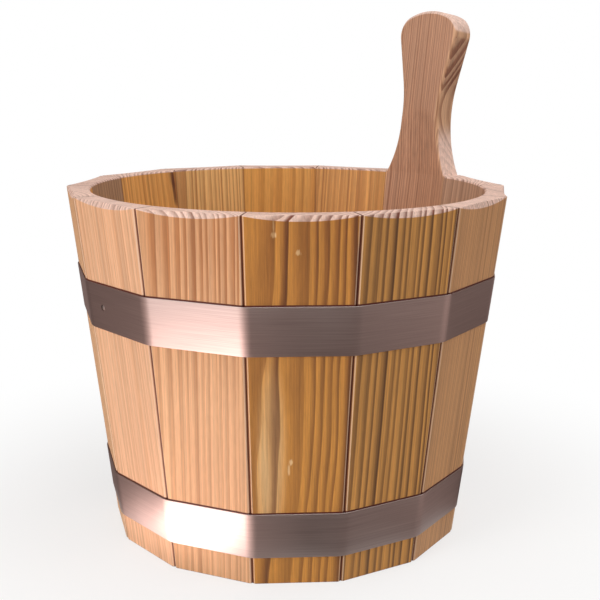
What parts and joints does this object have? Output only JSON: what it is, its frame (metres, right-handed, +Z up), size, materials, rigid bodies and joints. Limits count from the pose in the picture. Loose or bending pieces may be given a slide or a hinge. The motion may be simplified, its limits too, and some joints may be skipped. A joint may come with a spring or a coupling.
{
  "type": "sauna bucket",
  "caption": "Tapered wooden bucket of upright staves held by two steel hoops, with one stave carried up past the rim as a carved handle.",
  "frame": {"origin": "on the floor, on the bucket's axis", "axes": "+Z up along the axis of the staves, +Y towards the handle"},
  "size_m": [0.2594, 0.2646, 0.3065],
  "materials": {
    "pine": "planed, bare",
    "bottom_pine": "planed, bare",
    "hoop_steel": "brushed",
    "pin_steel": "dull"
  },
  "bodies": {
    "root": {"stave_1": "pine", "stave_2": "pine", "stave_3": "pine", "stave_4": "pine", "stave_5": "pine", "stave_6": "pine", "stave_7": "pine", "stave_8": "pine", "stave_9": "pine", "stave_10": "pine", "stave_11": "pine", "stave_12": "pine", "stave_13": "pine", "handle_stave": "pine", "bottom_board_left": "bottom_pine", "bottom_board_middle": "bottom_pine", "bottom_board_right": "bottom_pine", "upper_hoop": "hoop_steel", "lower_hoop": "hoop_steel", "hoop_rivets": "pin_steel", "hoop_nails": "pin_steel"}
  },
  "joints": []
}
